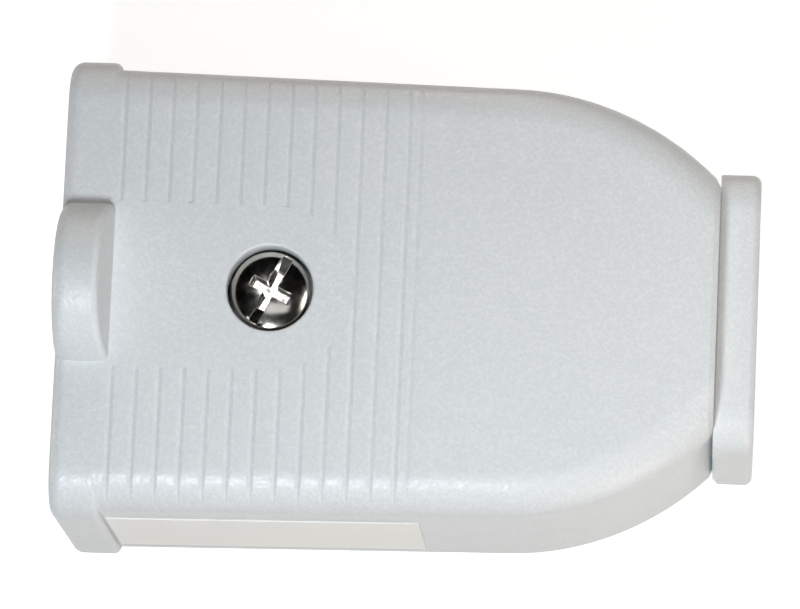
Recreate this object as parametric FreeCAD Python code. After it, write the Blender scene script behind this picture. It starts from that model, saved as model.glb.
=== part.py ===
import FreeCAD, Part
import math
import os

from FreeCAD import Vector

# Two-pole inline socket connector for flat-blade plugs, lying on its lower face.
# X runs from the socket face to the cable end, Y across the width and Z up.
# The origin is under the middle of the housing. All sizes are in millimetres.

# Housing, outside
overall_length = 50.0
body_thickness = 22.0
body_width_front = 32.4
body_width_rear = 31.2
shoulder_radius = 2.8
taper_from_front = 33.8
taper_radius = 21.8
taper_blend_radius = 20.0
neck_width = 18.4
neck_chamfer = 0.35

# Rim and thumb lug round the socket face
rim_length = 3.6
rim_overhang = 0.55
rim_front_round = 0.9
rim_rear_round = 0.5
lug_width = 11.5
lug_height = 4.5
lug_length = 3.9
lug_front_round = 1.0
lug_rear_draft = 0.7
lug_rear_round = 0.5

# Grip grooves across the housing and the plain pad between them
groove_count = 13
groove_pitch = 1.706
first_groove_from_front = 4.18
groove_width = 0.56
groove_depth = 0.1
groove_overcut = 0.1
end_groove_depth = 0.06
groove_wrap = 60.0
pad_half_width = 6.0

# Cable collar
collar_length = 2.9
collar_width = 20.6
collar_thickness = 17.8
collar_corner_radius = 3.0
collar_round = 0.6
collar_front_chamfer = 0.4
collar_gap = 0.06
cable_bore_radius = 4.3
cable_mouth_chamfer = 0.5

# Hook that holds the upper half in the collar
hook_width = 7.0
hook_thickness = 0.9
hook_reach = 1.1
hook_clearance = 0.12

# Housing, inside
wall = 2.0
front_wall = 3.4
end_wall = 2.4
boss_radius = 3.3
barrier_thickness = 1.6
barrier_clamp_gap = 1.5
peg_radius = 0.9
peg_height = 1.8
peg_offset = 12.6
fit_clearance = 0.1
rooting = 0.5

# Housing screw and nut
screw_from_front = 15.2
screw_radius = 1.5
screw_hole_radius = 1.7
screw_head_radius = 2.8
screw_head_height = 2.3
screw_recess_radius = 3.3
screw_recess_depth = 2.9
screw_slot_angle = 64.0
nut_across_flats = 5.5
nut_thickness = 2.4
nut_pocket_depth = 2.9
nut_chamfer = 0.3
thread_clearance = 0.05
drive_cross_span = 3.0
drive_cross_depth = 1.2
head_dome = 1.0

# Form shared by all the screws
drive_slot_width = 0.75
drive_slot_depth = 0.9
head_chamfer = 0.3
tip_chamfer = 0.4

# Blade slots and contacts
blade_pitch = 12.7
slot_width = 2.2
live_slot_height = 7.0
neutral_slot_height = 8.4
slot_lead_in = 0.6
sheet = 0.6
contact_gap = 1.2
contact_mouth_gap = 3.0
contact_rear_gap = 3.0
contact_from_front = 3.8
contact_pinch_from_front = 6.8
contact_base_from_front = 10.0
contact_base_end_from_front = 20.6
contact_seat_drop = 5.05
contact_top_margin = 0.1
contact_relief = 0.8
bay_clearance = 0.25
bay_rib = 1.1
hold_down_rib = 1.4

# Terminals
terminal_from_front = 27.0
tail_rise = 1.5
tail_jog_length = 1.4
tail_width = 6.4
tail_length = 8.0
tail_corner_radius = 1.0
terminal_screw_radius = 1.5
terminal_screw_length = 4.0
terminal_head_radius = 2.75
terminal_head_height = 2.0
terminal_washer_size = 6.2
terminal_washer_thickness = 0.6
terminal_washer_corner_radius = 1.0
terminal_nut_size = 5.5
terminal_nut_thickness = 1.8
terminal_block_wall = 1.2
terminal_slot_angles = (35.0, 110.0)

# Cord clamp
clamp_from_back = 11.0
clamp_length = 5.0
clamp_seat_drop = 0.75
clamp_arch_radius = 3.4
clamp_thickness = 1.6
clamp_ear_margin = 2.3
clamp_fillet = 0.4
clamp_screw_radius = 1.1
clamp_screw_length = 6.0
clamp_head_radius = 2.1
clamp_head_height = 1.6
clamp_slot_angles = (20.0, 75.0)

# Paper label on the side wall
label_length = 22.5
label_height = 12.0
label_top_margin = 5.4
label_thickness = 0.12
label_gap = 0.2

# Places worked out from the sizes above
front = -overall_length / 2
back = overall_length / 2
neck_x = back - collar_length
taper_x = front + taper_from_front
parting_z = body_thickness / 2
floor_z = wall
ceiling_z = body_thickness - wall
cavity_front_x = front + front_wall
cavity_end_x = neck_x - end_wall
screw_x = front + screw_from_front
blade_y = blade_pitch / 2
terminal_x = front + terminal_from_front
clamp_x = back - clamp_from_back
barrier_end_x = clamp_x - clamp_length / 2 - barrier_clamp_gap
rim_half_width = body_width_front / 2 + rim_overhang
collar_top_z = parting_z + collar_thickness / 2
reach = overall_length

AXIS_X = Vector(1, 0, 0)
AXIS_Y = Vector(0, 1, 0)
AXIS_Z = Vector(0, 0, 1)


def box(x0, x1, y0, y1, z0, z1):
    return Part.makeBox(x1 - x0, y1 - y0, z1 - z0, Vector(x0, y0, z0))


def upright_cylinder(x, y, z0, z1, radius):
    return Part.makeCylinder(radius, z1 - z0, Vector(x, y, z0), AXIS_Z)


def lengthwise_cylinder(x0, x1, z, radius):
    return Part.makeCylinder(radius, x1 - x0, Vector(x0, 0, z), AXIS_X)


def edges_along(shape, axis):
    """Straight edges of a shape that run along an axis."""
    straight = [edge for edge in shape.Edges if isinstance(edge.Curve, Part.Line)]
    return [edge for edge in straight if edge.Curve.Direction.cross(axis).Length < 1e-6]


def edges_across(shape, x):
    """Edges of a shape that lie in the plane across it at x."""
    return [edge for edge in shape.Edges
            if abs(edge.BoundBox.XMin - x) < 1e-4 and abs(edge.BoundBox.XMax - x) < 1e-4]


def edges_at_height(shape, z):
    """Edges of a shape that lie in the level plane at z."""
    return [edge for edge in shape.Edges
            if abs(edge.BoundBox.ZMin - z) < 1e-4 and abs(edge.BoundBox.ZMax - z) < 1e-4]


def rounded_bar(x0, x1, width, z0, z1, corner_radius):
    """Lengthwise bar of rounded rectangular section, on the centre line."""
    bar = box(x0, x1, -width / 2, width / 2, z0, z1)
    return bar.makeFillet(corner_radius, edges_along(bar, AXIS_X))


def prism(points, direction):
    """Straight prism on a polygon."""
    return Part.Face(Part.makePolygon(points + points[:1])).extrude(direction)


def half_width_at(x):
    """Half width of the straight-sided front of the body."""
    share = (x - front) / (taper_x - front)
    return (body_width_front + (body_width_rear - body_width_front) * share) / 2


def plan_face(x_start):
    """Plan of the body: near-straight sides, then convex arcs that run in to the neck."""
    start = Vector(x_start, half_width_at(x_start), 0)
    shoulder = Vector(taper_x, body_width_rear / 2, 0)
    neck = Vector(neck_x, neck_width / 2, 0)
    chord = neck - shoulder
    outward = Vector(-chord.y, chord.x, 0).normalize()
    centre = (shoulder + neck) * 0.5 - outward * math.sqrt(taper_radius ** 2 - (chord.Length / 2) ** 2)
    along = (shoulder - start).normalize()
    inward = Vector(along.y, -along.x, 0)
    # A blend arc touches the side and the taper arc; bend is 1 where the corner is convex, else -1.
    bend = math.copysign(1, (shoulder - centre).dot(along))
    offset = shoulder + inward * (bend * taper_blend_radius)
    gap = offset - centre
    square = gap.dot(along) ** 2 - gap.dot(gap) + (taper_radius - bend * taper_blend_radius) ** 2
    shift = min((sign * math.sqrt(square) - gap.dot(along) for sign in (-1, 1)), key=abs)
    hub = offset + along * shift
    blend_start = hub - inward * (bend * taper_blend_radius)
    blend_end = centre + (hub - centre).normalize() * taper_radius
    blend_crest = hub + (blend_start + blend_end - hub * 2).normalize() * taper_blend_radius
    crest = centre + (blend_end + neck - centre * 2).normalize() * taper_radius
    side = [Part.LineSegment(start, blend_start).toShape(),
            Part.Arc(blend_start, blend_crest, blend_end).toShape(),
            Part.Arc(blend_end, crest, neck).toShape()]
    other_side = [edge.mirror(Vector(0, 0, 0), AXIS_Y) for edge in side]
    mirrored_start = Vector(start.x, -start.y, 0)
    mirrored_neck = Vector(neck.x, -neck.y, 0)
    ends = [Part.LineSegment(neck, mirrored_neck).toShape(),
            Part.LineSegment(mirrored_start, start).toShape()]
    return Part.Face(Part.Wire(Part.__sortEdges__(side + other_side + ends)))


def body_form(end_x):
    """Outer form of the body, solid, with rounded shoulders above and below and a chamfered rear end."""
    x_start = front + rim_length / 2
    form = plan_face(x_start).extrude(AXIS_Z * body_thickness)
    level = edges_at_height(form, 0) + edges_at_height(form, body_thickness)
    shoulders = [edge for edge in level if edge.BoundBox.XLength > 1e-4]
    form = form.makeFillet(shoulder_radius, shoulders)
    form = form.common(box(x_start, end_x, -reach, reach, 0, body_thickness))
    return form.makeChamfer(neck_chamfer, edges_across(form, end_x))


def rim_form():
    """Rim round the socket face, a little wider than the body."""
    corner = shoulder_radius + rim_overhang
    rim = rounded_bar(front, front + rim_length, 2 * rim_half_width, 0, body_thickness, corner)
    rim = rim.makeFillet(rim_front_round, edges_across(rim, front))
    return rim.makeFillet(rim_rear_round, edges_across(rim, front + rim_length))


def lug_form():
    """Domed thumb lug on the middle of the rim."""
    radius = ((lug_width / 2) ** 2 + lug_height ** 2) / (2 * lug_height)
    axis_z = body_thickness + lug_height - radius
    rear_x = front + lug_length
    lug = lengthwise_cylinder(front, rear_x, axis_z, radius)
    lug = lug.makeFillet(lug_front_round, edges_across(lug, front))
    top_z = body_thickness + lug_height
    lean = lug_rear_draft / lug_height
    above_z = top_z + rooting
    below_z = axis_z - radius - rooting
    behind = prism([Vector(rear_x - lean * (above_z - body_thickness), -reach, above_z),
                    Vector(rear_x + reach, -reach, above_z), Vector(rear_x + reach, -reach, below_z),
                    Vector(rear_x + lean * (body_thickness - below_z), -reach, below_z)], AXIS_Y * 2 * reach)
    lug = lug.cut(behind)
    crest = [edge for face in lug.Faces if isinstance(face.Surface, Part.Plane)
             and lean / 2 < face.normalAt(0, 0).z < 1 - lean for edge in face.Edges
             if edge.BoundBox.ZMax > body_thickness]
    lug = lug.makeFillet(lug_rear_round, crest)
    root_z = ceiling_z + rooting
    return lug.common(box(front, front + reach, -reach, reach, root_z, reach))


def collar_form():
    """Cable collar, one closed ring behind the neck."""
    base_z = parting_z - collar_thickness / 2
    ring = rounded_bar(neck_x, back, collar_width, base_z, collar_top_z, collar_corner_radius)
    ring = ring.makeFillet(collar_round, edges_across(ring, back))
    return ring.makeChamfer(collar_front_chamfer, edges_across(ring, neck_x))


def groove(x, depth):
    """V groove across the upper face that runs out on the rounded shoulders."""
    half = groove_width / 2 * (1 + groove_overcut / depth)
    top_z = body_thickness + groove_overcut
    bend_y = half_width_at(x) - shoulder_radius
    profile = [Vector(x - half, -bend_y, top_z), Vector(x + half, -bend_y, top_z),
               Vector(x, -bend_y, body_thickness - depth)]
    straight = prism(profile, AXIS_Y * 2 * bend_y)
    # The run-out bends a little less than the shoulder, so that it leaves the surface at the wrap angle.
    inner = shoulder_radius - depth
    fall = inner - shoulder_radius * math.cos(math.radians(groove_wrap))
    bend_radius = inner + (shoulder_radius ** 2 - inner ** 2) / (2 * fall)
    hub = Vector(x, -bend_y, body_thickness - depth - bend_radius)
    run_out = Part.Face(Part.makePolygon(profile + profile[:1])).revolve(hub, AXIS_X, 1.3 * groove_wrap)
    return straight.fuse([run_out, run_out.mirror(Vector(0, 0, 0), AXIS_Y)])


def grip_grooves():
    """Grooves of the upper face, broken by the plain pad that runs from the lug round the screw."""
    first_x = front + first_groove_from_front
    grooves = [groove(first_x + i * groove_pitch, groove_depth) for i in range(groove_count)]
    end_x = first_x + (groove_count - 0.5) * groove_pitch
    grooves.append(groove(end_x, end_groove_depth))
    pad = box(front, screw_x, -pad_half_width, pad_half_width, parting_z, 2 * body_thickness)
    pad = pad.fuse(upright_cylinder(screw_x, 0, parting_z, 2 * body_thickness, pad_half_width))
    return Part.Compound(grooves).cut(pad)


def cavity():
    """Space inside both halves, one wall in from the outline."""
    inset = plan_face(front).makeOffset2D(-wall)
    inset.translate(AXIS_Z * floor_z)
    space = inset.extrude(AXIS_Z * (ceiling_z - floor_z))
    return space.common(box(cavity_front_x, cavity_end_x, -reach, reach, floor_z, ceiling_z))


def blade_slot(y, height):
    """Slot through the front wall for one flat blade, with a flared mouth."""
    def outline(x, margin):
        y0, y1 = y - slot_width / 2 - margin, y + slot_width / 2 + margin
        z0, z1 = parting_z - height / 2 - margin, parting_z + height / 2 + margin
        corners = [Vector(x, y0, z0), Vector(x, y1, z0), Vector(x, y1, z1), Vector(x, y0, z1)]
        return Part.makePolygon(corners + corners[:1])

    mouth = Part.makeLoft([outline(front, slot_lead_in), outline(front + slot_lead_in, 0)], True)
    passage = Part.Face(outline(front, 0)).extrude(AXIS_X * (front_wall + fit_clearance))
    return mouth.fuse(passage)


# Level of the contacts, terminals and clamp, shared by the pieces that meet there
contact_outer_half = contact_rear_gap / 2 + sheet
contact_seat_z = parting_z - contact_seat_drop
contact_top_z = parting_z + neutral_slot_height / 2 - contact_top_margin
bay_half = contact_outer_half + bay_clearance
tail_z = contact_seat_z + tail_rise
tail_start_x = front + contact_base_end_from_front + tail_jog_length
tail_end_x = terminal_x + tail_length / 2
terminal_nut_z = tail_z - terminal_nut_thickness
terminal_washer_z = tail_z + sheet
terminal_head_z = terminal_washer_z + terminal_washer_thickness
terminal_tip_z = terminal_head_z - terminal_screw_length
clamp_seat_z = parting_z - clamp_seat_drop
clamp_head_z = clamp_seat_z + clamp_thickness
clamp_screw_offset = clamp_arch_radius + clamp_thickness + clamp_fillet + clamp_head_radius
clamp_half_width = clamp_screw_offset + clamp_ear_margin
hook_z = (parting_z + cable_bore_radius + collar_top_z) / 2 - hook_thickness / 2
slot_heights = {1: live_slot_height, -1: neutral_slot_height}


def pegs(radius, height):
    """Two locating pegs in the corners of the socket face, standing on the parting plane."""
    x = front + front_wall / 2
    return [upright_cylinder(x, side * peg_offset, parting_z - wall, parting_z + height, radius)
            for side in (-1, 1)]


def upper_housing():
    """Upper half: grooved shell with the lug, screw boss, barrier, hold-down ribs and rear hook."""
    form = body_form(neck_x - collar_gap).fuse([rim_form(), lug_form()]).removeSplitter()
    above = box(front, back, -reach, reach, parting_z, reach)
    shell = form.common(above).cut(cavity())
    inside = [upright_cylinder(screw_x, 0, parting_z, ceiling_z + rooting, boss_radius),
              box(screw_x, barrier_end_x, -barrier_thickness / 2, barrier_thickness / 2,
                  parting_z, ceiling_z + rooting)]
    base_middle_x = front + (contact_base_from_front + contact_base_end_from_front) / 2
    for side in (-1, 1):
        y = side * blade_y
        inside.append(box(base_middle_x - hold_down_rib / 2, base_middle_x + hold_down_rib / 2,
                          y - bay_half, y + bay_half, contact_top_z + fit_clearance, ceiling_z + rooting))
    hook = box(cavity_end_x, neck_x + hook_reach, -hook_width / 2, hook_width / 2,
               hook_z, hook_z + hook_thickness)
    shell = shell.fuse(inside + [hook])
    cuts = [blade_slot(side * blade_y, height) for side, height in slot_heights.items()]
    cuts += pegs(peg_radius + fit_clearance, peg_height + fit_clearance)
    cuts.append(upright_cylinder(screw_x, 0, parting_z, reach, screw_hole_radius))
    screw_seat_z = body_thickness - screw_recess_depth
    cuts.append(upright_cylinder(screw_x, 0, screw_seat_z, reach, screw_recess_radius))
    cuts.append(lengthwise_cylinder(cavity_end_x, back, parting_z, cable_bore_radius))
    return shell.cut(cuts).cut(grip_grooves()).removeSplitter()


def contact_bays():
    """Troughs in the lower half that hold the contacts, with blocks round the terminal nuts."""
    solids = []
    spaces = []
    bay_end_x = front + contact_base_end_from_front
    outer = bay_half + bay_rib
    pocket = terminal_nut_size / 2 + fit_clearance
    block = pocket + terminal_block_wall
    for side in (-1, 1):
        y = side * blade_y
        solids.append(box(cavity_front_x, bay_end_x, y - outer, y + outer, floor_z, parting_z))
        spaces.append(box(cavity_front_x, bay_end_x, y - bay_half, y + bay_half,
                          contact_seat_z, parting_z))
        solids.append(box(terminal_x - block, terminal_x + block, y - block, y + block, floor_z, tail_z))
        spaces.append(box(terminal_x - pocket, terminal_x + pocket, y - pocket, y + pocket,
                          terminal_nut_z, tail_z))
        spaces.append(upright_cylinder(terminal_x, y, terminal_tip_z - fit_clearance, tail_z,
                                       terminal_screw_radius + fit_clearance))
    return solids, spaces


def nut_prism(across_flats, z0, z1):
    """Hexagonal prism on the screw axis, with two flats along the housing."""
    corner = across_flats / math.sqrt(3)
    angles = [math.radians(30 + 60 * i) for i in range(6)]
    points = [Vector(screw_x + corner * math.sin(a), corner * math.cos(a), z0) for a in angles]
    return prism(points, AXIS_Z * (z1 - z0))


def lower_housing():
    """Lower half: shell with the cable collar, contact bays, nut pocket and cord clamp seat."""
    form = body_form(neck_x).fuse(rim_form()).removeSplitter()
    below = box(front, back, -reach, reach, 0, parting_z)
    shell = form.common(below).cut(cavity())
    bays, bay_spaces = contact_bays()
    seat_half = clamp_half_width + fit_clearance
    seat = box(clamp_x - clamp_length / 2, clamp_x + clamp_length / 2, -seat_half, seat_half,
               floor_z, clamp_seat_z)
    inside = bays + [seat, upright_cylinder(screw_x, 0, floor_z, parting_z, boss_radius),
                     box(screw_x, barrier_end_x, -barrier_thickness / 2, barrier_thickness / 2,
                         floor_z, parting_z)]
    outside = pegs(peg_radius, peg_height) + [collar_form()]
    shell = shell.fuse(inside).cut(bay_spaces).fuse(outside)
    cuts = [blade_slot(side * blade_y, height) for side, height in slot_heights.items()]
    cuts.append(upright_cylinder(screw_x, 0, 0, parting_z, screw_hole_radius))
    cuts.append(nut_prism(nut_across_flats + 2 * fit_clearance, 0, nut_pocket_depth))
    cuts.append(lengthwise_cylinder(clamp_x - clamp_length, clamp_x + clamp_length, parting_z,
                                    clamp_arch_radius))
    cuts.append(lengthwise_cylinder(cavity_end_x, back, parting_z, cable_bore_radius))
    cuts.append(box(neck_x, neck_x + hook_reach + hook_clearance,
                    -hook_width / 2 - hook_clearance, hook_width / 2 + hook_clearance,
                    hook_z - hook_clearance, hook_z + hook_thickness + hook_clearance))
    pilot_depth = clamp_screw_length - clamp_thickness + 2 * fit_clearance
    for side in (-1, 1):
        cuts.append(upright_cylinder(clamp_x, side * clamp_screw_offset, clamp_seat_z - pilot_depth,
                                     clamp_seat_z, clamp_screw_radius + thread_clearance))
    middle = Vector(0, 0, parting_z)
    cuts.append(grip_grooves().mirror(middle, AXIS_Z))
    shell = shell.cut(cuts).removeSplitter()
    mouth = [edge for edge in edges_across(shell, back)
             if isinstance(edge.Curve, Part.Circle) and abs(edge.Curve.Radius - cable_bore_radius) < 1e-4]
    return shell.makeChamfer(cable_mouth_chamfer, mouth)


def shank(radius, length):
    """Screw shank below the origin, with a chamfered tip."""
    blank = upright_cylinder(0, 0, -length, 0, radius)
    return blank.makeChamfer(tip_chamfer, edges_at_height(blank, -length))


def seated_screw(head, radius, length, recess, slot_angle, seat):
    """Screw from its head and recess, turned to its slot angle, with its head resting on the seat."""
    screw = head.fuse(shank(radius, length)).removeSplitter().cut(recess)
    screw.rotate(Vector(0, 0, 0), AXIS_Z, slot_angle)
    screw.translate(seat)
    return screw


def drive_slot(head_radius, head_height):
    """Straight slot across a screw head, open at the top."""
    half = drive_slot_width / 2
    return box(-head_radius, head_radius, -half, half, head_height - drive_slot_depth, 2 * head_height)


def housing_screw():
    """Pan-head screw with a combined slot and cross recess, long enough to fill the nut."""
    dome_radius = (screw_head_radius ** 2 + head_dome ** 2) / (2 * head_dome)
    dome_centre = Vector(0, 0, screw_head_height - dome_radius)
    head = upright_cylinder(0, 0, 0, screw_head_height, screw_head_radius)
    head = head.common(Part.makeSphere(dome_radius, dome_centre))
    half = drive_slot_width / 2
    span = drive_cross_span / 2
    cross_z = screw_head_height - drive_cross_depth
    top = 2 * screw_head_height
    arms = [box(-span, span, -half, half, cross_z, top), box(-half, half, -span, span, cross_z, top)]
    recess = drive_slot(screw_head_radius, screw_head_height).fuse(arms)
    seat_z = body_thickness - screw_recess_depth
    length = seat_z - nut_pocket_depth + nut_thickness
    return seated_screw(head, screw_radius, length, recess, screw_slot_angle, Vector(screw_x, 0, seat_z))


def slotted_screw(x, y, seat_z, head_radius, head_height, radius, length, slot_angle):
    """Slotted cheese-head screw of the terminals and the cord clamp."""
    head = upright_cylinder(0, 0, 0, head_height, head_radius)
    head = head.makeChamfer(head_chamfer, edges_at_height(head, head_height))
    recess = drive_slot(head_radius, head_height)
    return seated_screw(head, radius, length, recess, slot_angle, Vector(x, y, seat_z))


def housing_nut():
    """Hex nut seated against the roof of its pocket, chamfered at both faces."""
    z0 = nut_pocket_depth - nut_thickness
    corner = nut_across_flats / math.sqrt(3)
    barrel = upright_cylinder(screw_x, 0, z0, nut_pocket_depth, corner)
    ends = edges_at_height(barrel, z0) + edges_at_height(barrel, nut_pocket_depth)
    barrel = barrel.makeChamfer(nut_chamfer, ends)
    hole = upright_cylinder(screw_x, 0, z0, nut_pocket_depth, screw_radius + thread_clearance)
    return nut_prism(nut_across_flats, z0, nut_pocket_depth).common(barrel).cut(hole)


def contact(y):
    """Brass receiver folded from one strip: two sprung leaves on a base with a raised terminal tail."""
    base_x = front + contact_base_from_front
    base_end_x = front + contact_base_end_from_front
    inner = [(front + contact_from_front, contact_mouth_gap / 2),
             (front + contact_pinch_from_front, contact_gap / 2),
             (base_x, contact_rear_gap / 2), (base_end_x, contact_rear_gap / 2)]
    outer = [(x, v + sheet) for x, v in reversed(inner)]
    pieces = []
    for side in (-1, 1):
        plan = [Vector(x, y + side * v, contact_seat_z) for x, v in inner + outer]
        leaf = prism(plan, AXIS_Z * (contact_top_z - contact_seat_z))
        bends = [edge for edge in edges_along(leaf, AXIS_Z)
                 if front + contact_from_front < edge.BoundBox.XMin < base_end_x - sheet]
        pieces.append(leaf.makeFillet(sheet, bends))
    strip = [(base_x, 0), (base_end_x, 0), (tail_start_x, tail_rise), (tail_end_x, tail_rise),
             (tail_end_x, tail_rise + sheet), (tail_start_x - sheet / 2, tail_rise + sheet),
             (base_end_x - sheet / 2, sheet), (base_x, sheet)]
    side_view = [Vector(x, y - tail_width / 2, contact_seat_z + z) for x, z in strip]
    base = prism(side_view, AXIS_Y * tail_width)
    for y0, y1 in ((y - reach, y - contact_outer_half), (y + contact_outer_half, y + reach)):
        base = base.cut(box(base_x, tail_start_x, y0, y1, 0, body_thickness))
    corners = [edge for edge in edges_along(base, AXIS_Z) if abs(edge.BoundBox.XMin - tail_end_x) < 1e-4]
    base = base.makeFillet(tail_corner_radius, corners)
    solid = base.fuse(pieces).removeSplitter()
    relief = box(front, base_x, y - reach, y + reach, 0, contact_seat_z + contact_relief)
    hole = upright_cylinder(terminal_x, y, 0, body_thickness, terminal_screw_radius + fit_clearance)
    return solid.cut([relief, hole])


def terminal_washer(y):
    """Square clamping washer with rounded corners."""
    half = terminal_washer_size / 2
    plate = box(terminal_x - half, terminal_x + half, y - half, y + half, terminal_washer_z, terminal_head_z)
    plate = plate.makeFillet(terminal_washer_corner_radius, edges_along(plate, AXIS_Z))
    hole_radius = terminal_screw_radius + fit_clearance
    return plate.cut(upright_cylinder(terminal_x, y, terminal_washer_z, terminal_head_z, hole_radius))


def terminal_nut(y):
    """Square nut under the terminal tail."""
    half = terminal_nut_size / 2
    block = box(terminal_x - half, terminal_x + half, y - half, y + half, terminal_nut_z, tail_z)
    hole = upright_cylinder(terminal_x, y, terminal_nut_z, tail_z, terminal_screw_radius + thread_clearance)
    return block.cut(hole)


def terminal_screw(y, slot_angle):
    """Screw that clamps a core between the washer and the contact's tail."""
    return slotted_screw(terminal_x, y, terminal_head_z, terminal_head_radius, terminal_head_height,
                         terminal_screw_radius, terminal_screw_length, slot_angle)


def cord_clamp():
    """Saddle over the cord: a round arch on two flat ears."""
    x0 = clamp_x - clamp_length / 2
    x1 = clamp_x + clamp_length / 2
    arch = lengthwise_cylinder(x0, x1, parting_z, clamp_arch_radius + clamp_thickness)
    ears = box(x0, x1, -clamp_half_width, clamp_half_width, clamp_seat_z, clamp_head_z)
    saddle = arch.common(box(x0, x1, -reach, reach, clamp_seat_z, reach)).fuse(ears).removeSplitter()
    saddle = saddle.cut(lengthwise_cylinder(x0, x1, parting_z, clamp_arch_radius))
    roots = [edge for edge in edges_along(saddle, AXIS_X)
             if abs(edge.BoundBox.ZMin - clamp_head_z) < 1e-4
             and abs(edge.BoundBox.YMin) < clamp_arch_radius + clamp_thickness]
    saddle = saddle.makeFillet(clamp_fillet, roots)
    holes = [upright_cylinder(clamp_x, side * clamp_screw_offset, clamp_seat_z, clamp_head_z,
                              clamp_screw_radius + fit_clearance) for side in (-1, 1)]
    return saddle.cut(holes)


def cord_clamp_screw(side, slot_angle):
    """Thread-forming screw through one ear of the saddle."""
    return slotted_screw(clamp_x, side * clamp_screw_offset, clamp_head_z, clamp_head_radius,
                         clamp_head_height, clamp_screw_radius, clamp_screw_length, slot_angle)


def paper_label():
    """Blank paper label that follows the slightly tapered side wall."""
    x0 = front + rim_length + label_gap
    x1 = x0 + label_length
    z1 = body_thickness - label_top_margin
    near = [Vector(x0, -half_width_at(x0), z1), Vector(x1, -half_width_at(x1), z1)]
    far = [point - AXIS_Y * label_thickness for point in reversed(near)]
    return prism(near + far, AXIS_Z * -label_height)


nodes = {
    "upper_housing": upper_housing(),
    "lower_housing": lower_housing(),
    "housing_screw": housing_screw(),
    "housing_nut": housing_nut(),
    "cord_clamp": cord_clamp(),
    "cord_clamp_screw_left": cord_clamp_screw(1, clamp_slot_angles[0]),
    "cord_clamp_screw_right": cord_clamp_screw(-1, clamp_slot_angles[1]),
    "paper_label": paper_label(),
}
for pole, y, slot_angle in (("live", blade_y, terminal_slot_angles[0]),
                            ("neutral", -blade_y, terminal_slot_angles[1])):
    nodes[pole + "_contact"] = contact(y)
    nodes[pole + "_terminal_screw"] = terminal_screw(y, slot_angle)
    nodes[pole + "_terminal_washer"] = terminal_washer(y)
    nodes[pole + "_terminal_nut"] = terminal_nut(y)

os.makedirs("parts", exist_ok=True)
for name, shape in nodes.items():
    shape.exportStep("parts/" + name + ".step")
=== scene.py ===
import math

import bmesh
import bpy
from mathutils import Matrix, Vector


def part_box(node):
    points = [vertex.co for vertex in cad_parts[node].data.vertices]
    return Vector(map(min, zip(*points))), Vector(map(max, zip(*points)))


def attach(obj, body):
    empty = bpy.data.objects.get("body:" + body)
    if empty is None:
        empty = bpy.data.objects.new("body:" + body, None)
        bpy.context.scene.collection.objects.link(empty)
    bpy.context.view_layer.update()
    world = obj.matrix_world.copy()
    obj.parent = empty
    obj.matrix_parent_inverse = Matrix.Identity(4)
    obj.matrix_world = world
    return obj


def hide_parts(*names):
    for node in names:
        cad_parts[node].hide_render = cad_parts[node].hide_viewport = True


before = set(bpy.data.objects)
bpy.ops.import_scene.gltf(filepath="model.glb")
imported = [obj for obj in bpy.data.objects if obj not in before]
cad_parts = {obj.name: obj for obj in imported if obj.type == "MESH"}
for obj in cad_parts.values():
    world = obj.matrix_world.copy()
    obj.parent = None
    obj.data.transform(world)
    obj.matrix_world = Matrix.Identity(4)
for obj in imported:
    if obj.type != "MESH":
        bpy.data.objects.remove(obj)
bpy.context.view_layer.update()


# Lower housing: the half that lies on the table, with the cable collar and the pocket for the nut.
# It is white ABS, injection moulded in a spark-eroded mould, and it carries every inner piece.
# Its parting edge has the small rounding that a cut mould leaves on it.
MM = 0.001
WELD = 0.001 * MM
ON_PLANE = 0.002 * MM
ON_SURFACE = 0.01 * MM
COLOUR_A, COLOUR_B, COLOUR_OUT = 6, 7, 2
scene = bpy.context.scene


def linear(code):
    parts = [int(code[i:i + 2], 16) / 255 for i in (1, 3, 5)]
    return tuple(c / 12.92 if c <= 0.04045 else ((c + 0.055) / 1.055) ** 2.4 for c in parts) + (1.0,)


def add_node(tree, kind, inputs={}, **settings):
    made = tree.nodes.new(kind)
    for name, value in settings.items():
        setattr(made, name, value)
    for name, value in inputs.items():
        if isinstance(value, bpy.types.NodeSocket):
            tree.links.new(value, made.inputs[name])
        else:
            made.inputs[name].default_value = value
    return made


def start_material(name):
    material = bpy.data.materials.new(name)
    material.use_nodes = True
    return material, material.node_tree, material.node_tree.nodes["Principled BSDF"]


def fit(piece, slot, *nodes):
    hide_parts(*nodes)
    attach(piece, "root")


# Spark-eroded ABS: a satin white whose pebbled skin breaks the highlights into small glints, with pale flecks in
# its colour that are painted glints.
# The real grit is a few hundredths of a millimetre, too fine to show, so it is drawn several times coarser.
white_abs, tree, shader = start_material("spark_eroded_white_abs")
place = add_node(tree, "ShaderNodeTexCoord").outputs["Object"]
grit = add_node(tree, "ShaderNodeTexNoise", {
    "Vector": place, "Scale": 1 / (0.26 * MM), "Detail": 2.0, "Roughness": 0.6}).outputs["Fac"]
cloud = add_node(tree, "ShaderNodeTexNoise", {
    "Vector": place, "Scale": 1 / (9 * MM), "Detail": 3.0, "Roughness": 0.55}).outputs["Fac"]
tint = add_node(tree, "ShaderNodeMix", {
    "Factor": cloud, COLOUR_A: linear("#D8DDE0"), COLOUR_B: linear("#DEE2E4")}, data_type="RGBA")
# Painted glints: where the grit peaks, the colour is lifted towards a paler white, standing in for sparkle of light
# on the skin.
painted_glint_share = add_node(tree, "ShaderNodeMapRange", {
    "Value": grit, "From Min": 0.42, "From Max": 0.72, "To Min": 0.0, "To Max": 0.46})
painted_glints = add_node(tree, "ShaderNodeMix", {
    "Factor": painted_glint_share.outputs["Result"], COLOUR_A: tint.outputs[COLOUR_OUT], COLOUR_B: linear("#EFF2F4")},
    data_type="RGBA")
gloss = add_node(tree, "ShaderNodeMapRange", {
    "Value": grit, "From Min": 0.3, "From Max": 0.7, "To Min": 0.45, "To Max": 0.6})
relief = add_node(tree, "ShaderNodeBump", {"Height": grit, "Strength": 0.8, "Distance": 0.07 * MM})
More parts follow.
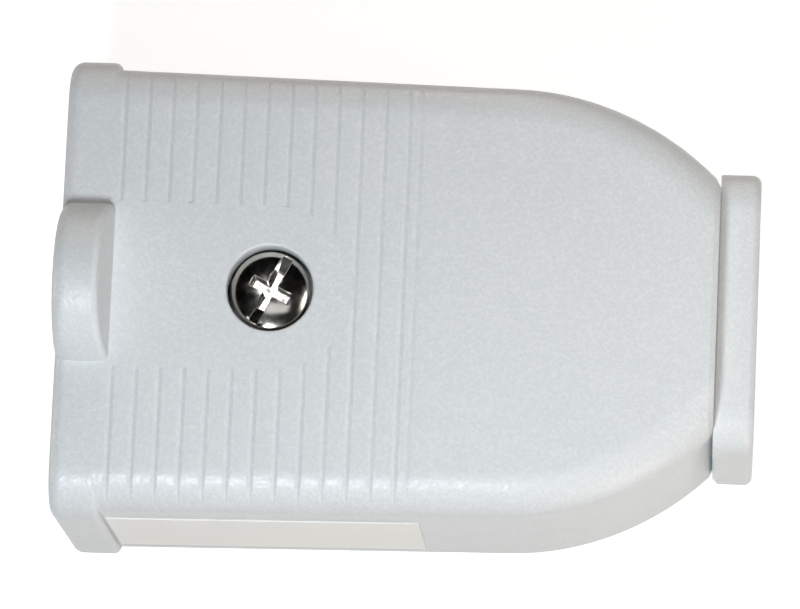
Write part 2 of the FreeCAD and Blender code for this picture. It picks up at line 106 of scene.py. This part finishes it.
pebbles = add_node(tree, "ShaderNodeTexNoise", {"Vector": place, "Scale": 1 / (0.32 * MM), "Detail": 0.5})
skin = add_node(tree, "ShaderNodeBump", {
    "Height": pebbles.outputs["Fac"], "Strength": 1.0, "Distance": 0.055 * MM})
tree.links.new(painted_glints.outputs[COLOUR_OUT], shader.inputs["Base Color"])
tree.links.new(gloss.outputs["Result"], shader.inputs["Roughness"])
tree.links.new(relief.outputs["Normal"], shader.inputs["Normal"])
tree.links.new(skin.outputs["Normal"], shader.inputs["Coat Normal"])
shader.inputs["Coat Weight"].default_value = 0.29
shader.inputs["Coat Roughness"].default_value = 0.26
shader.inputs["IOR"].default_value = 1.53

parting = 11.0 * MM
body_top = 22.0 * MM
seam_rounding = 0.1 * MM
seam_reach = 0.75 * MM
wall_lean = 0.3
screw_x = -9.8 * MM
recess_radius = 3.3 * MM
recess_floor_above = 15.0 * MM
recess_lip = 0.2 * MM


def is_seam(edge, ring):
    if any(abs(vert.co.z - parting) > ON_PLANE for vert in edge.verts):
        return False
    walls = [face.normal for face in edge.link_faces if abs(face.normal.z) < wall_lean]
    if len(walls) != 1 or len(edge.link_faces) != 2:
        return False
    reach = walls[0].dot(edge.verts[0].co)
    return all(walls[0].dot(point) - reach < seam_reach for point in ring)


def in_recess_wall(vert, radius):
    away = math.hypot(vert.co.x - screw_x, vert.co.y)
    return vert.co.z > recess_floor_above and abs(away - radius) < ON_SURFACE


def is_recess_rim(edge):
    return all(abs(vert.co.z - body_top) < ON_PLANE and in_recess_wall(vert, recess_radius - recess_lip)
               for vert in edge.verts)


def round_edges(form, edges, width, segments):
    return set(bmesh.ops.bevel(form, geom=edges, offset=width, offset_type="OFFSET", segments=segments,
                               profile=0.5, affect="EDGES", clamp_overlap=False)["faces"])


# A moulded half keeps the smooth shading of its solid, and only its seam and its recess are rounded.
def moulded_half(name, node):
    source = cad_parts[node].data
    form = bmesh.new()
    form.from_mesh(source)
    kept = form.loops.layers.float_vector.new("kept_normal")
    for face, polygon in zip(form.faces, source.polygons):
        for loop, index in zip(face.loops, polygon.loop_indices):
            loop[kept] = source.corner_normals[index].vector
    bmesh.ops.remove_doubles(form, verts=form.verts, dist=WELD)
    for vert in form.verts:
        if in_recess_wall(vert, recess_radius):
            vert.co.x = screw_x + (vert.co.x - screw_x) * (1 - recess_lip / recess_radius)
            vert.co.y *= 1 - recess_lip / recess_radius
    form.normal_update()
    ring = [vert.co.copy() for vert in form.verts if abs(vert.co.z - parting) < ON_PLANE]
    seam = [edge for edge in form.edges if is_seam(edge, ring)]
    made = round_edges(form, seam, width=seam_rounding, segments=2)
    lip = [edge for edge in form.edges if is_recess_rim(edge)]
    if lip:
        made |= round_edges(form, lip, width=recess_lip, segments=4)
    form.normal_update()
    for face in made:
        for loop in face.loops:
            around = [other for other in loop.vert.link_loops if other.face not in made]
            normals = [other[kept] for other in around] or [other.face.normal for other in loop.vert.link_loops]
            loop[kept] = sum((Vector(normal) for normal in normals), Vector()).normalized()
    # The rounding adds its faces in an order that changes from run to run, so all are put in order of place.
    for parts, centre in ((form.verts, lambda vert: vert.co), (form.faces, lambda face: face.calc_center_median())):
        for index, part in enumerate(sorted(parts, key=lambda part: tuple(centre(part)))):
            part.index = index
        parts.sort()
    mesh = bpy.data.meshes.new(name)
    form.to_mesh(mesh)
    form.free()
    normals = [tuple(item.vector) for item in mesh.attributes["kept_normal"].data]
    for spare in ("kept_normal", "custom_normal", "sharp_edge", "sharp_face"):
        if spare in mesh.attributes:
            mesh.attributes.remove(mesh.attributes[spare])
    mesh.polygons.foreach_set("use_smooth", [True] * len(mesh.polygons))
    mesh.normals_split_custom_set(normals)
    mesh.materials.clear()
    mesh.materials.append(white_abs)
    piece = bpy.data.objects.new(name, mesh)
    scene.collection.objects.link(piece)
    return piece


lower_shell = moulded_half("lower_shell", "lower_housing")

# The collar's front edge is drawn nearly sharp, so that it meets the upper half in a fine line.
collar_front = 22.1 * MM
collar_half_width, collar_half_height, collar_corner = 10.3 * MM, 8.9 * MM, 3.0 * MM
solid_chamfer, drawn_chamfer = 0.4 * MM, 0.1 * MM
slack, share_slack, above_seam = 0.2 * MM, 0.02, 0.1 * MM
for vert in lower_shell.data.vertices:
    along = (vert.co.x - collar_front) / solid_chamfer
    across, up = abs(vert.co.y), vert.co.z - parting
    inset = solid_chamfer * (1 - along)
    corner = math.hypot(max(across - collar_half_width + collar_corner, 0),
                        max(up - collar_half_height + collar_corner, 0))
    outside = (across > collar_half_width - inset - slack or up > collar_half_height - inset - slack
               or corner > collar_corner - inset - slack)
    if up > above_seam and -share_slack < along < 1 + share_slack and outside:
        edge = drawn_chamfer * (1 - along)
        vert.co.x = collar_front + drawn_chamfer * along
        vert.co.y *= (collar_half_width - edge) / (collar_half_width - inset)
        vert.co.z = parting + up * (collar_half_height - edge) / (collar_half_height - inset)
fit(lower_shell, "housing_plastic", "lower_housing")


# Housing nut: an M3 hexagon nut pressed into its pocket under the lower half.
# It is cold-formed steel with a zinc plating, and its edges are slightly broken.
def rounded_copy(name, node, edge, crease=math.radians(30), flat=math.radians(0.3)):
    form = bmesh.new()
    form.from_mesh(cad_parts[node].data)
    bmesh.ops.remove_doubles(form, verts=form.verts, dist=WELD)
    bmesh.ops.dissolve_limit(form, angle_limit=flat, verts=form.verts, edges=form.edges)
    mesh = bpy.data.meshes.new(name)
    form.to_mesh(mesh)
    form.free()
    if "custom_normal" in mesh.attributes:
        mesh.attributes.remove(mesh.attributes["custom_normal"])
    mesh.materials.clear()
    mesh.polygons.foreach_set("use_smooth", [True] * len(mesh.polygons))
    mesh.set_sharp_from_angle(angle=crease)
    piece = bpy.data.objects.new(name, mesh)
    scene.collection.objects.link(piece)
    bevel = piece.modifiers.new("edges", "BEVEL")
    bevel.width = edge
    bevel.segments = 2
    bevel.limit_method = "ANGLE"
    bevel.angle_limit = crease
    bevel.use_clamp_overlap = False
    bevel.miter_outer = "MITER_ARC"
    normals = piece.modifiers.new("normals", "WEIGHTED_NORMAL")
    normals.keep_sharp = True
    return piece


def plain_mesh(piece, material):
    evaluated = piece.evaluated_get(bpy.context.evaluated_depsgraph_get())
    mesh = bpy.data.meshes.new_from_object(evaluated)
    mesh.name = piece.name
    piece.modifiers.clear()
    piece.data = mesh
    mesh.materials.clear()
    mesh.materials.append(material)


# Zinc plate: a pale grey metal with a faint frosting, which blurs what it mirrors.
zinc_steel, tree, shader = start_material("zinc_plated_steel")
place = add_node(tree, "ShaderNodeTexCoord").outputs["Object"]
frost = add_node(tree, "ShaderNodeTexNoise", {
    "Vector": place, "Scale": 1 / (0.5 * MM), "Detail": 4.0, "Roughness": 0.6}).outputs["Fac"]
tint = add_node(tree, "ShaderNodeMix", {
    "Factor": frost, COLOUR_A: linear("#A9ADB2"), COLOUR_B: linear("#C6C9CC")}, data_type="RGBA")
gloss = add_node(tree, "ShaderNodeMapRange", {
    "Value": frost, "From Min": 0.3, "From Max": 0.7, "To Min": 0.28, "To Max": 0.45})
tree.links.new(tint.outputs[COLOUR_OUT], shader.inputs["Base Color"])
tree.links.new(gloss.outputs["Result"], shader.inputs["Roughness"])
shader.inputs["Metallic"].default_value = 1.0

nut = rounded_copy("hex_nut", "housing_nut", 0.06 * MM)
plain_mesh(nut, zinc_steel)
fit(nut, "zinc_steel", "housing_nut")


# Contacts: two receivers that grip the blades of a plug, each with a tail for its terminal.
# They are folded from brass strip and drop into bays in the lower half.
strip_edge = 0.05 * MM

# Rolled brass: a warm yellow metal with fine lines along the strip and darker, tarnished clouds.
rolled_brass, tree, shader = start_material("rolled_brass_strip")
place = add_node(tree, "ShaderNodeTexCoord").outputs["Object"]
stretch = add_node(tree, "ShaderNodeMapping", {"Vector": place, "Scale": (0.06, 1.0, 1.0)})
rolled = add_node(tree, "ShaderNodeTexNoise", {
    "Vector": stretch.outputs["Vector"], "Scale": 1 / (0.12 * MM), "Detail": 3.0}).outputs["Fac"]
tarnish = add_node(tree, "ShaderNodeTexNoise", {
    "Vector": place, "Scale": 1 / (3 * MM), "Detail": 4.0, "Roughness": 0.6}).outputs["Fac"]
tint = add_node(tree, "ShaderNodeMix", {
    "Factor": tarnish, COLOUR_A: linear("#D9B25A"), COLOUR_B: linear("#B98F45")}, data_type="RGBA")
gloss = add_node(tree, "ShaderNodeMapRange", {
    "Value": rolled, "From Min": 0.3, "From Max": 0.7, "To Min": 0.2, "To Max": 0.38})
relief = add_node(tree, "ShaderNodeBump", {"Height": rolled, "Strength": 0.2, "Distance": 0.01 * MM})
tree.links.new(tint.outputs[COLOUR_OUT], shader.inputs["Base Color"])
tree.links.new(gloss.outputs["Result"], shader.inputs["Roughness"])
tree.links.new(relief.outputs["Normal"], shader.inputs["Normal"])
shader.inputs["Metallic"].default_value = 1.0

for side in ("live", "neutral"):
    receiver = rounded_copy(side + "_receiver", side + "_contact", strip_edge)
    plain_mesh(receiver, rolled_brass)
    fit(receiver, "contact_brass", side + "_contact")


# Terminals: on each contact's tail a square nut below, a square washer above and a slotted screw.
# The screws are nickel-plated steel with a rolled M3 thread, the nuts and washers are zinc-plated.
fastener_edge = 0.05 * MM
terminal_head = 2.0 * MM
m3_thread = {"crest": 1.5 * MM, "core": 1.22 * MM, "pitch": 0.5 * MM}

# Bright nickel: a slightly warm mirror with a thin haze, as handled plating has.
bright_nickel, tree, shader = start_material("bright_nickel_plate")
place = add_node(tree, "ShaderNodeTexCoord").outputs["Object"]
haze = add_node(tree, "ShaderNodeTexNoise", {
    "Vector": place, "Scale": 1 / (0.8 * MM), "Detail": 4.0, "Roughness": 0.6}).outputs["Fac"]
gloss = add_node(tree, "ShaderNodeMapRange", {
    "Value": haze, "From Min": 0.3, "From Max": 0.7, "To Min": 0.08, "To Max": 0.18})
relief = add_node(tree, "ShaderNodeBump", {"Height": haze, "Strength": 0.15, "Distance": 0.02 * MM})
tree.links.new(gloss.outputs["Result"], shader.inputs["Roughness"])
tree.links.new(relief.outputs["Normal"], shader.inputs["Normal"])
shader.inputs["Base Color"].default_value = linear("#CCC9C4")
shader.inputs["Metallic"].default_value = 1.0

# The thread is a ridge rolled round the shank: four sides in section, along a helix of the screw's pitch.
ridge_share, ridge_sides, points_per_turn = 0.42, 4, 24
thread_tree = bpy.data.node_groups.new("rolled_thread", "GeometryNodeTree")
thread_inputs = {}
for label, kind in (
    ("Crest Radius", "NodeSocketFloat"), ("Pitch", "NodeSocketFloat"), ("Length", "NodeSocketFloat"),
    ("Foot", "NodeSocketVector"), ("Finish", "NodeSocketMaterial"),
):
    socket = thread_tree.interface.new_socket(label, in_out="INPUT", socket_type=kind)
    thread_inputs[label] = socket.identifier
thread_tree.interface.new_socket("Geometry", in_out="OUTPUT", socket_type="NodeSocketGeometry")
given = add_node(thread_tree, "NodeGroupInput").outputs
ridge = add_node(thread_tree, "ShaderNodeMath", {
    0: given["Pitch"], 1: ridge_share}, operation="MULTIPLY").outputs[0]
middle = add_node(thread_tree, "ShaderNodeMath", {
    0: given["Crest Radius"], 1: ridge}, operation="SUBTRACT").outputs[0]
turns = add_node(thread_tree, "ShaderNodeMath", {
    0: given["Length"], 1: given["Pitch"]}, operation="DIVIDE").outputs[0]
helix = add_node(thread_tree, "GeometryNodeCurveSpiral", {
    "Resolution": points_per_turn, "Rotations": turns, "Start Radius": middle, "End Radius": middle,
    "Height": given["Length"], "Reverse": True})
upright = add_node(thread_tree, "GeometryNodeSetCurveNormal", {"Curve": helix.outputs["Curve"]}, mode="Z_UP")
section = add_node(thread_tree, "GeometryNodeCurvePrimitiveCircle", {"Resolution": ridge_sides, "Radius": ridge})
rolled = add_node(thread_tree, "GeometryNodeCurveToMesh", {
    "Curve": upright.outputs["Curve"], "Profile Curve": section.outputs["Curve"], "Fill Caps": True})
placed = add_node(thread_tree, "GeometryNodeTransform", {
    "Geometry": rolled.outputs["Mesh"], "Translation": given["Foot"]})
single = add_node(thread_tree, "GeometryNodeRealizeInstances", {"Geometry": placed.outputs["Geometry"]})
plated = add_node(thread_tree, "GeometryNodeSetMaterial", {
    "Geometry": single.outputs["Geometry"], "Material": given["Finish"]})
add_node(thread_tree, "NodeGroupOutput", {"Geometry": plated.outputs["Geometry"]})


# The shank is turned down to the core, and the thread runs from just above its foot to just below the head.
def roll_thread(screw, node, head, crest, core, pitch, finish, slot):
    low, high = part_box(node)
    x, y = (low[0] + high[0]) / 2, (low[1] + high[1]) / 2
    seat = high[2] - head
    below_head, run_out = 0.1 * MM, 0.8 * pitch
    for vert in screw.data.vertices:
        away = math.hypot(vert.co.x - x, vert.co.y - y)
        if vert.co.z < seat - below_head and away > core:
            vert.co.x = x + (vert.co.x - x) * core / away
            vert.co.y = y + (vert.co.y - y) * core / away
    thread = bpy.data.objects.new(screw.name + "_thread", bpy.data.meshes.new(screw.name + "_thread"))
    scene.collection.objects.link(thread)
    rolling = thread.modifiers.new("thread", "NODES")
    rolling.node_group = thread_tree
    values = {"Crest Radius": crest, "Pitch": pitch, "Length": seat - low[2] - 2 * run_out,
              "Foot": (x, y, low[2] + run_out), "Finish": finish}
    for label, value in values.items():
        rolling[thread_inputs[label]] = value
    plain_mesh(thread, finish)
    form = bmesh.new()
    form.from_mesh(thread.data)
    bmesh.ops.remove_doubles(form, verts=form.verts, dist=WELD)
    bmesh.ops.recalc_face_normals(form, faces=form.faces)
    form.to_mesh(thread.data)
    form.free()
    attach(thread, "root")


for side in ("live", "neutral"):
    for part, finish, slot in (
        ("terminal_nut", zinc_steel, "zinc_steel"),
        ("terminal_washer", zinc_steel, "zinc_steel"),
        ("terminal_screw", bright_nickel, "nickel_screw"),
    ):
        fastener = rounded_copy(side + "_" + part + "_made", side + "_" + part, fastener_edge)
        plain_mesh(fastener, finish)
        fit(fastener, slot, side + "_" + part)
    roll_thread(fastener, side + "_terminal_screw", terminal_head, **m3_thread,
                finish=bright_nickel, slot="nickel_screw")


# Cord clamp: a moulded saddle that presses the cord down behind the terminals, with its two screws.
# The saddle is natural nylon, the screws are zinc-plated and cut their own coarse thread.
saddle_edge = 0.1 * MM
saddle_screw_head = 1.6 * MM
forming_thread = {"crest": 1.1 * MM, "core": 0.78 * MM, "pitch": 0.8 * MM}

# Natural nylon: an undyed, slightly cloudy ivory with a soft, uneven moulded skin.
natural_nylon, tree, shader = start_material("natural_moulded_nylon")
place = add_node(tree, "ShaderNodeTexCoord").outputs["Object"]
cloud = add_node(tree, "ShaderNodeTexNoise", {
    "Vector": place, "Scale": 1 / (2 * MM), "Detail": 3.0}).outputs["Fac"]
tint = add_node(tree, "ShaderNodeMix", {
    "Factor": cloud, COLOUR_A: linear("#D2CFC4"), COLOUR_B: linear("#DDDACF")}, data_type="RGBA")
relief = add_node(tree, "ShaderNodeBump", {"Height": cloud, "Strength": 0.2, "Distance": 0.05 * MM})
tree.links.new(tint.outputs[COLOUR_OUT], shader.inputs["Base Color"])
tree.links.new(relief.outputs["Normal"], shader.inputs["Normal"])
shader.inputs["Roughness"].default_value = 0.5
shader.inputs["IOR"].default_value = 1.53

saddle = rounded_copy("cord_saddle", "cord_clamp", saddle_edge)
plain_mesh(saddle, natural_nylon)
fit(saddle, "clamp_plastic", "cord_clamp")

for side in ("left", "right"):
    fastener = rounded_copy("saddle_screw_" + side, "cord_clamp_screw_" + side, fastener_edge)
    plain_mesh(fastener, zinc_steel)
    fit(fastener, "zinc_steel", "cord_clamp_screw_" + side)
    roll_thread(fastener, "cord_clamp_screw_" + side, saddle_screw_head, **forming_thread,
                finish=zinc_steel, slot="zinc_steel")


# Upper housing: the half with the grooved grip, the screw recess, the front rim and the thumb lug.
# It is moulded in the same white ABS, and its rear edge hooks into the collar of the lower half.
upper_shell = moulded_half("upper_shell", "upper_housing")

# Its rear edge is drawn up to the collar, which leaves no more than a hair line between them.
solid_gap, drawn_gap, gap_slack = 0.06 * MM, 0.01 * MM, 0.005 * MM
for vert in upper_shell.data.vertices:
    if abs(vert.co.x - (collar_front - solid_gap)) < gap_slack:
        vert.co.x = collar_front - drawn_gap
fit(upper_shell, "housing_plastic", "upper_housing")


# Housing screw: an M3 pan head with a combined slot and cross recess, which holds the halves together.
# It is steel with a bright nickel plating.
housing_head = 2.3 * MM
upright_edge = 0.3 * MM
dome_lift = 0.08 / MM
main_screw = rounded_copy("main_screw", "housing_screw", fastener_edge)

# The pan is a low dome with an upright edge, so its rim is brought up towards its crown.
head_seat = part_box("housing_screw")[1][2] - housing_head
for vert in main_screw.data.vertices:
    if vert.co.z > head_seat + upright_edge:
        vert.co.z += dome_lift * ((vert.co.x - screw_x) ** 2 + vert.co.y ** 2)
plain_mesh(main_screw, bright_nickel)
fit(main_screw, "nickel_screw", "housing_screw")
roll_thread(main_screw, "housing_screw", housing_head, **m3_thread, finish=bright_nickel, slot="nickel_screw")


# Label: a blank paper sticker on the near wall, pressed on by hand.
# It is cut from thin self-adhesive sheet.
label_edge = 0.02 * MM

# Uncoated paper: a slightly warm white, uneven from short fibres.
white_paper, tree, shader = start_material("uncoated_label_paper")
place = add_node(tree, "ShaderNodeTexCoord").outputs["Object"]
fibre = add_node(tree, "ShaderNodeTexNoise", {
    "Vector": place, "Scale": 1 / (0.35 * MM), "Detail": 5.0, "Roughness": 0.65}).outputs["Fac"]
tint = add_node(tree, "ShaderNodeMix", {
    "Factor": fibre, COLOUR_A: linear("#F4F3EF"), COLOUR_B: linear("#FCFBF8")}, data_type="RGBA")
relief = add_node(tree, "ShaderNodeBump", {"Height": fibre, "Strength": 0.25, "Distance": 0.02 * MM})
tree.links.new(tint.outputs[COLOUR_OUT], shader.inputs["Base Color"])
tree.links.new(relief.outputs["Normal"], shader.inputs["Normal"])
shader.inputs["Roughness"].default_value = 0.4

sticker = rounded_copy("blank_sticker", "paper_label", label_edge)
plain_mesh(sticker, white_paper)
fit(sticker, "label_paper", "paper_label")


# Floor, light and camera: a white table under soft studio light, seen from above and from the near side.
# The key light stands close by on the near side, with a ceiling light and fills round the part.
# The table and the room look white to the camera and in reflections, but throw little light.
WHITE = (1, 1, 1, 1)
floor_half, floor_glow = 2.0, 0.85
floor_mesh = bpy.data.meshes.new("floor")
floor_mesh.from_pydata([(x * floor_half, y * floor_half, 0) for x, y in ((-1, -1), (1, -1), (1, 1), (-1, 1))],
                       [], [(0, 1, 2, 3)])
floor = bpy.data.objects.new("floor", floor_mesh)
scene.collection.objects.link(floor)


def seen_directly(tree):
    path = add_node(tree, "ShaderNodeLightPath").outputs
    mirrored = add_node(tree, "ShaderNodeMath", {
        0: path["Is Camera Ray"], 1: path["Is Glossy Ray"]}, operation="MAXIMUM").outputs[0]
    return add_node(tree, "ShaderNodeMath", {
        0: mirrored, 1: path["Is Transmission Ray"]}, operation="MAXIMUM").outputs[0]


white_table, tree, shader = start_material("white_table")
lift = add_node(tree, "ShaderNodeMath", {0: seen_directly(tree), 1: floor_glow}, operation="MULTIPLY")
tree.links.new(lift.outputs[0], shader.inputs["Emission Strength"])
shader.inputs["Emission Color"].default_value = WHITE
shader.inputs["Base Color"].default_value = linear("#B4B3AF")
shader.inputs["Roughness"].default_value = 0.9
shader.inputs["Specular IOR Level"].default_value = 0.0
floor_mesh.materials.append(white_table)

world = bpy.data.worlds.new("studio")
world.use_nodes = True
scene.world = world
tree = world.node_tree
room = tree.nodes["Background"]
room.inputs["Color"].default_value = linear("#DDEEFF")
room.inputs["Strength"].default_value = 0.02
backdrop = add_node(tree, "ShaderNodeBackground", {"Color": WHITE, "Strength": 1.0})
shown = add_node(tree, "ShaderNodeMixShader", {0: seen_directly(tree), 1: room.outputs[0], 2: backdrop.outputs[0]})
tree.links.new(shown.outputs[0], tree.nodes["World Output"].inputs["Surface"])


def add_lamp(name, place, aim, width, watts, colour):
    lamp = bpy.data.lights.new(name, "AREA")
    lamp.shape = "DISK"
    lamp.size = width
    lamp.energy = watts
    lamp.color = linear(colour)[:3]
    holder = bpy.data.objects.new(name, lamp)
    holder.location = place
    holder.rotation_euler = (Vector(aim) - Vector(place)).to_track_quat("-Z", "Y").to_euler()
    holder.visible_camera = False
    scene.collection.objects.link(holder)


add_lamp("key", place=(-0.022, -0.080, 0.150), aim=(0, 0, 0.02),
         width=0.035, watts=0.153, colour="#F6FBFF")
add_lamp("rear_fill", place=(0.052, -0.002, 0.090), aim=(0.02, 0, 0.02),
         width=0.05, watts=0.023, colour="#FFF9F2")
add_lamp("near_fill", place=(0.090, -0.130, 0.035), aim=(0.010, -0.016, 0.010),
         width=0.06, watts=0.047, colour="#FFEEDC")
add_lamp("ceiling_light", place=(-0.073, 0.088, 0.480), aim=(-0.02, 0, 0.02),
         width=0.03, watts=0.09, colour="#FFFFFF")
add_lamp("far_fill", place=(-0.010, 0.160, 0.070), aim=(0, 0, 0.015),
         width=0.10, watts=0.04, colour="#FFEBDA")

# Three low fills light the end faces and the far wall without touching the top.
for name, place, watts in (
    ("front_low_fill", (-0.22, 0.0, 0.010), 0.08),
    ("far_low_fill", (0.0, 0.22, 0.010), 0.04),
    ("rear_low_fill", (0.22, 0.0, 0.005), 0.06),
):
    add_lamp(name, place, aim=(0, 0, 0.010), width=0.01, watts=watts, colour="#FFF9F2")

# A black card overhead and at both ends gives the bright screw its dark side, and is there for reflections alone.
# The opening in it is the highlight on the lower edge of the screw's dome.
card_z, card_foot = 0.5, 0.08
card_x, card_y = (-0.6, -0.086, 0.076, 0.4), (-0.4, -0.057, 0.017, 0.6)
overhead = [(x, y, card_z) for y in card_y for x in card_x]
feet = [(x, y, card_foot) for x in (card_x[0], card_x[3]) for y in (card_y[0], card_y[3])]
overhead_faces = [(0, 3, 7, 4), (4, 5, 9, 8), (6, 7, 11, 10), (8, 11, 15, 12)]
end_faces = [(0, 12, 17, 16), (3, 15, 19, 18)]
card_mesh = bpy.data.meshes.new("black_card")
card_mesh.from_pydata(overhead + feet, [], overhead_faces + end_faces)
card = bpy.data.objects.new("black_card", card_mesh)
scene.collection.objects.link(card)
black_card, tree, shader = start_material("black_card")
shader.inputs["Base Color"].default_value = linear("#0C0C0C")
shader.inputs["Roughness"].default_value = 1.0
shader.inputs["Specular IOR Level"].default_value = 0.0
card_mesh.materials.append(black_card)
card.visible_camera = False
card.visible_diffuse = False
card.visible_shadow = False

# The camera stands over the near side, and its focal length is given in pixels of the 800 px wide picture.
sensor_width, picture_width, focal_pixels = 36, 800, 6128
lens = bpy.data.cameras.new("camera")
lens.sensor_width = sensor_width
lens.lens = focal_pixels / picture_width * sensor_width
lens.clip_start = 0.01
lens.clip_end = 10
camera = bpy.data.objects.new("camera", lens)
camera.location = (0.024023, -0.082297, 0.450)
camera.rotation_euler = (0.1899, 0.0489, 0.0429)
scene.collection.objects.link(camera)
scene.camera = camera

scene.view_settings.view_transform = "Standard"
